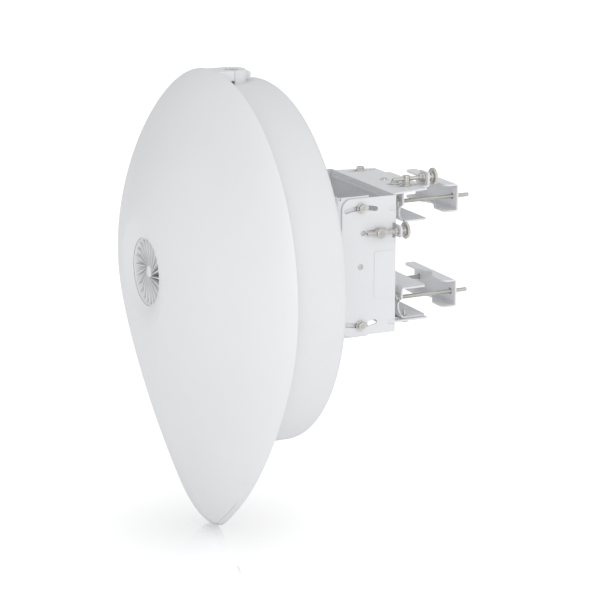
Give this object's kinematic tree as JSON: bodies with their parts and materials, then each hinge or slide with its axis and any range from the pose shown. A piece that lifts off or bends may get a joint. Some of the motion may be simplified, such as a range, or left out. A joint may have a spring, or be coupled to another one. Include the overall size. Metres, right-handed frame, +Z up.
{
  "type": "outdoor wireless bridge",
  "caption": "White drum-shaped dish radio with a teardrop front cover and spiral heat sink, on a pole bracket that turns and tilts with thumbscrews.",
  "frame": {"origin": "on the axis of the pole that the bracket grips, level with the axis of the dish", "axes": "+Z up along the pole; the dish looks along -Y; +X is the side with the two thumbscrews"},
  "size_m": [0.5446, 0.4858, 0.6544],
  "materials": {
    "cover": "fine satin moulded white",
    "housing": "fine satin moulded white",
    "heat_sink": "white powder coat on die-cast aluminium",
    "bracket_paint": "white powder-coated steel sheet",
    "cast_aluminium": "white powder coat on die-cast aluminium",
    "stainless": "plain stainless fasteners",
    "zinc_rod": "threaded stainless rod",
    "bare_aluminium": "bare satin aluminium",
    "tin_plate": "tin-plated sheet",
    "white_plastic": "plain moulded plastic",
    "black_plastic": "black nylon",
    "rubber": "black silicone rubber",
    "circuit_board": "green solder mask",
    "cable_jacket": "black cable jacket"
  },
  "bodies": {
    "pole_mount": {"pole_bracket": "bracket_paint", "clamp_rod_1": "zinc_rod", "clamp_rod_2": "zinc_rod", "clamp_rod_3": "zinc_rod", "clamp_rod_4": "zinc_rod", "turn_pivot_pin_1": "stainless", "turn_pivot_pin_2": "stainless", "upper_turn_bolt_1": "stainless", "upper_turn_bolt_2": "stainless", "lower_turn_bolt_1": "stainless", "lower_turn_bolt_2": "stainless"},
    "turn_bracket": {"outer_bracket": "bracket_paint", "tilt_pivot_pin_1": "stainless", "tilt_pivot_pin_2": "stainless"},
    "dish": {"front_cover": "cover", "rear_housing": "housing", "rim_gasket": "rubber", "spiral_heat_sink": "heat_sink", "nose_gasket": "rubber", "radio_housing": "bare_aluminium", "radio_board": "circuit_board", "rf_shield": "tin_plate", "feed_horn": "bare_aluminium", "feed_window": "white_plastic", "reflector": "bare_aluminium", "reflector_hub": "white_plastic", "inner_cable": "cable_jacket", "port_panel": "bracket_paint", "port_board": "circuit_board", "network_jack_1": "tin_plate", "network_jack_2": "tin_plate", "cable_gland_1": "black_plastic", "cable_gland_2": "black_plastic", "gland_plug_1": "rubber", "gland_plug_2": "rubber", "pressure_vent": "black_plastic", "ground_screw": "stainless", "dish_pedestal": "cast_aluminium", "inner_tilt_bracket": "bracket_paint", "bracket_bolt_1": "stainless", "tilt_lock_bolt_1": "stainless", "bracket_bolt_2": "stainless", "tilt_lock_bolt_2": "stainless", "bracket_bolt_3": "stainless", "tilt_lock_bolt_3": "stainless", "bracket_bolt_4": "stainless", "tilt_lock_bolt_4": "stainless"},
    "tilt_barrel": {"tilt_barrel": "stainless", "tilt_jam_nut": "stainless"},
    "tilt_thumbscrew": {"tilt_thumbscrew": "stainless", "tilt_collar_nut": "stainless"},
    "turn_barrel": {"turn_barrel": "stainless"},
    "turn_thumbscrew": {"turn_thumbscrew": "stainless", "turn_collar_nut": "stainless"},
    "upper_clamp": {"upper_clamp": "bracket_paint", "upper_clamp_nut_1": "stainless", "upper_clamp_nut_2": "stainless"},
    "lower_clamp": {"lower_clamp": "bracket_paint", "lower_clamp_nut_1": "stainless", "lower_clamp_nut_2": "stainless"}
  },
  "joints": [
    {"name": "turn", "type": "hinge", "parent": "pole_mount", "child": "turn_bracket", "pos_m": [0, -0.059, 0], "axis": [0, 0, 1], "range_deg": [-15, 15]},
    {"name": "tilt", "type": "hinge", "parent": "turn_bracket", "child": "dish", "pos_m": [0, -0.148, 0], "axis": [1, 0, 0], "range_deg": [-15, 15]},
    {"name": "tilt_barrel_slide", "type": "slide", "parent": "turn_bracket", "child": "tilt_barrel", "axis": [0, 1, 0], "range_m": [-0.0125, 0.0125]},
    {"name": "tilt_screw_spin", "type": "hinge", "parent": "turn_bracket", "child": "tilt_thumbscrew", "pos_m": [0.1095, -0.0945, 0.0475], "axis": [0, 1, 0], "range_deg": [-4480, 4480]},
    {"name": "turn_barrel_slide", "type": "slide", "parent": "turn_bracket", "child": "turn_barrel", "axis": [0, 1, 0], "range_m": [-0.0139, 0.0139]},
    {"name": "turn_screw_spin", "type": "hinge", "parent": "turn_bracket", "child": "turn_thumbscrew", "pos_m": [0.0526, -0.0228, 0.1069], "axis": [0, 1, 0], "range_deg": [-4960, 4960]},
    {"name": "upper_clamp_slide", "type": "slide", "parent": "pole_mount", "child": "upper_clamp", "axis": [0, 1, 0], "range_m": [-0.012, 0.013]},
    {"name": "lower_clamp_slide", "type": "slide", "parent": "pole_mount", "child": "lower_clamp", "axis": [0, 1, 0], "range_m": [-0.012, 0.013]}
  ],
  "couplings": [
    {"joint": "tilt_barrel_slide", "follows": "tilt", "m_per_rad": -0.0475},
    {"joint": "tilt_screw_spin", "follows": "tilt", "ratio": 298.45},
    {"joint": "turn_barrel_slide", "follows": "turn", "m_per_rad": -0.0526},
    {"joint": "turn_screw_spin", "follows": "turn", "ratio": 330.5}
  ]
}
